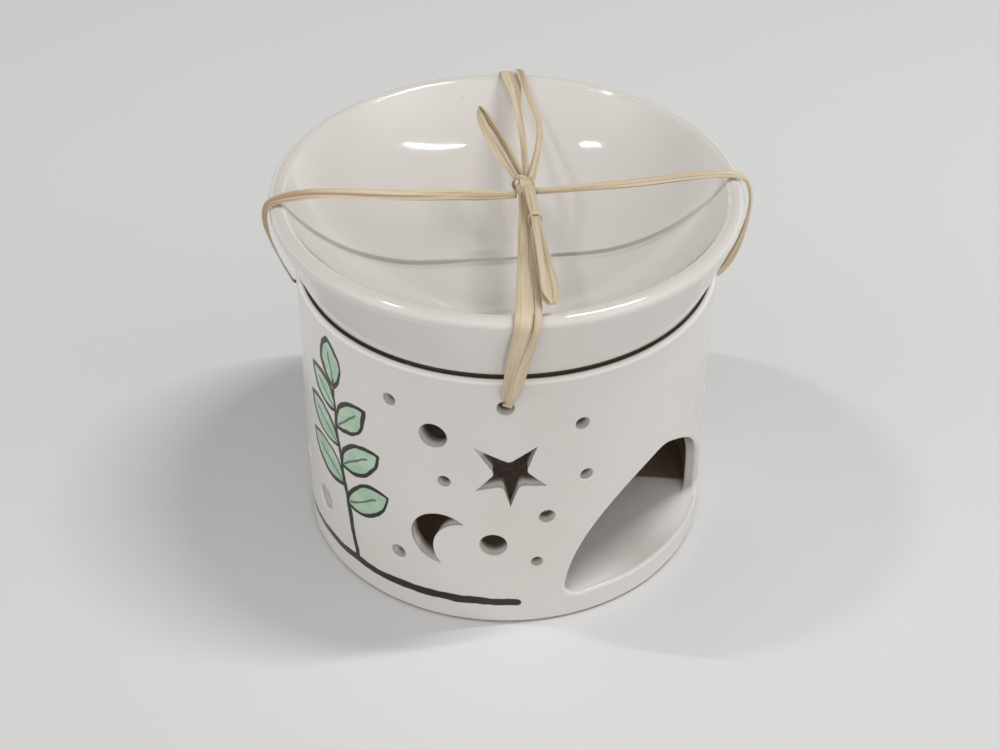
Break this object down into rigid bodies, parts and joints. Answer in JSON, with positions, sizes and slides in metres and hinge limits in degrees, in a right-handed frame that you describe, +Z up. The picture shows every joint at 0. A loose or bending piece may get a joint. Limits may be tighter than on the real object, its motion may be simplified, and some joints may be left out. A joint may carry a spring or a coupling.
{
  "type": "essential oil burner",
  "caption": "Round glazed ceramic oil burner: a pierced pot with an arched doorway, a loose flared bowl on its rim, a tea light inside and a raffia tie over the top.",
  "frame": {"origin": "on the ground under the middle of the pot's foot", "axes": "+Z up, the doorway faces -Y, +X to the right of someone facing the doorway"},
  "size_m": [0.12, 0.12, 0.1087],
  "materials": {
    "pot_glaze": "glossy warm white glaze",
    "bowl_glaze": "glossy warm white glaze",
    "raffia": "dry straw-like fibre",
    "cup_metal": "thin pressed foil",
    "wax": "satin paraffin wax",
    "wick": "waxed braided cotton",
    "tab_metal": "tinned sheet"
  },
  "bodies": {
    "burner": {"burner_body": "pot_glaze", "raffia_run_front_to_back": "raffia", "raffia_run_left_to_right": "raffia"},
    "bowl": {"oil_bowl": "bowl_glaze", "raffia_front_strand": "raffia", "raffia_back_strand": "raffia", "raffia_left_strand": "raffia", "raffia_right_strand": "raffia", "raffia_back_ply": "raffia", "raffia_knot": "raffia", "raffia_upper_loop": "raffia", "raffia_lower_loop": "raffia"},
    "tea_light": {"tea_light_cup": "cup_metal", "tea_light_wax": "wax", "tea_light_wick": "wick", "tea_light_wick_tab": "tab_metal"}
  },
  "joints": [
    {"name": "bowl_lift", "type": "slide", "parent": "burner", "child": "bowl", "axis": [0, 0, 1], "range_m": [0, 0.025], "deforming": ["raffia_front_strand", "raffia_back_strand", "raffia_left_strand", "raffia_right_strand"]},
    {"name": "tea_light_slide", "type": "slide", "parent": "burner", "child": "tea_light", "axis": [0, -1, 0], "range_m": [0, 0.1]}
  ]
}
